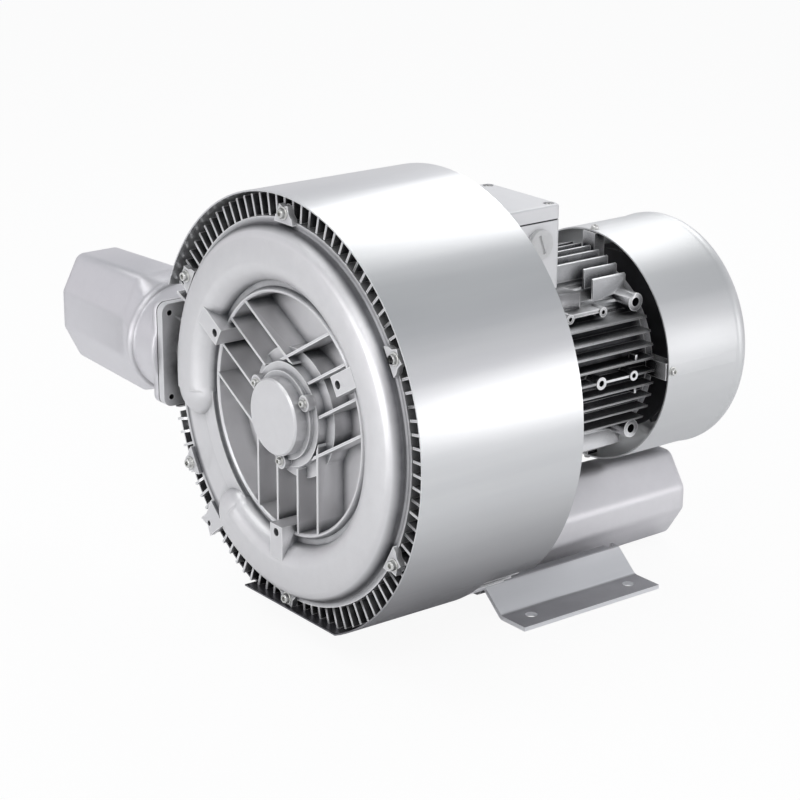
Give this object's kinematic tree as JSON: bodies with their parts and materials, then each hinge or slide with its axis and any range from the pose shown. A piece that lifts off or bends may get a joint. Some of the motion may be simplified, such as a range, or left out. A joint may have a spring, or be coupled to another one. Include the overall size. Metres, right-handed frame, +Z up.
{
  "type": "side channel blower",
  "caption": "Two-stage side channel blower: finned casing in a sheet shroud, flange motor with fan cowl, terminal box, and two octagonal silencers as air ports.",
  "frame": {"origin": "centre of the four foot bolt holes, on the floor plane under the feet", "axes": "+Z up, +Y along the shaft from the front cover to the motor's fan cowl, +X to the right as seen from the front"},
  "size_m": [0.638, 0.5235, 0.447],
  "materials": {
    "cover_casting": "silver-painted die casting, satin",
    "housing_casting": "silver-painted die casting, satin",
    "shroud_sheet": "smooth silver paint, satin",
    "silencer_casting": "silver-painted die casting, satin",
    "foot_steel": "grey-silver coated steel sheet",
    "motor_casting": "silver-painted die casting",
    "cowl_sheet": "smooth silver paint, satin",
    "box_paint": "light grey paint, fine texture",
    "plug_plastic": "light grey moulding",
    "zinc_screws": "zinc-plated",
    "gasket_sheet": "dark flat gasket",
    "bearing_steel": "ground",
    "cage_polymer": "black moulding",
    "shaft_steel": "turned",
    "impeller_casting": "machined casting",
    "laminations": "stacked steel sheet",
    "copper_winding": "lacquered copper",
    "foam": "dark sound-absorbing foam",
    "perforated_tube": "perforated sheet",
    "fan_plastic": "black moulding",
    "terminal_plastic": "black moulding",
    "seal_rubber": "black"
  },
  "bodies": {
    "casing": {"front_cover": "cover_casting", "bearing_cap": "cover_casting", "front_housing": "housing_casting", "rear_housing": "housing_casting", "shroud": "shroud_sheet", "inlet_silencer": "silencer_casting", "outlet_silencer": "silencer_casting", "left_foot": "foot_steel", "right_foot": "foot_steel", "motor_frame": "motor_casting", "rear_shield": "motor_casting", "fan_cowl": "cowl_sheet", "terminal_box": "box_paint", "terminal_lid": "box_paint", "cable_plug": "plug_plastic", "cover_screws": "zinc_screws", "joint_bolts": "zinc_screws", "bearing_cap_screws": "zinc_screws", "shroud_screws": "zinc_screws", "foot_screws": "zinc_screws", "inlet_screws": "zinc_screws", "outlet_screws": "zinc_screws", "motor_flange_bolts": "zinc_screws", "rear_shield_bolts": "zinc_screws", "cowl_screws": "zinc_screws", "lid_screws": "zinc_screws", "inlet_gasket": "gasket_sheet", "outlet_gasket": "gasket_sheet", "lid_gasket": "gasket_sheet", "shaft_seal": "seal_rubber", "front_bearing_outer_ring": "bearing_steel", "rear_bearing_outer_ring": "bearing_steel", "stator_core": "laminations", "stator_windings": "copper_winding", "inlet_liner": "foam", "outlet_liner": "foam", "inlet_tube": "perforated_tube", "outlet_tube": "perforated_tube", "terminal_block": "terminal_plastic"},
    "rotor": {"shaft": "shaft_steel", "front_impeller": "impeller_casting", "rear_impeller": "impeller_casting", "impeller_spacer": "shaft_steel", "locating_collar": "shaft_steel", "shaft_nut": "shaft_steel", "impeller_keys": "shaft_steel", "front_bearing_inner_ring": "bearing_steel", "rear_bearing_inner_ring": "bearing_steel", "rotor_core": "laminations", "cooling_fan": "fan_plastic", "fan_clip": "shaft_steel"},
    "front_cage": {"front_bearing_cage": "cage_polymer", "front_bearing_balls": "bearing_steel"},
    "rear_cage": {"rear_bearing_cage": "cage_polymer", "rear_bearing_balls": "bearing_steel"}
  },
  "joints": [
    {"name": "rotor_spin", "type": "hinge", "parent": "casing", "child": "rotor", "pos_m": [0, 0, 0.229], "axis": [0, 1, 0], "continuous": true},
    {"name": "front_cage_spin", "type": "hinge", "parent": "casing", "child": "front_cage", "pos_m": [0, -0.2685, 0.229], "axis": [0, 1, 0], "continuous": true},
    {"name": "rear_cage_spin", "type": "hinge", "parent": "casing", "child": "rear_cage", "pos_m": [0, 0.0975, 0.229], "axis": [0, 1, 0], "continuous": true}
  ],
  "couplings": [
    {"joint": "front_cage_spin", "follows": "rotor_spin", "ratio": 0.37941},
    {"joint": "rear_cage_spin", "follows": "rotor_spin", "ratio": 0.37941}
  ]
}
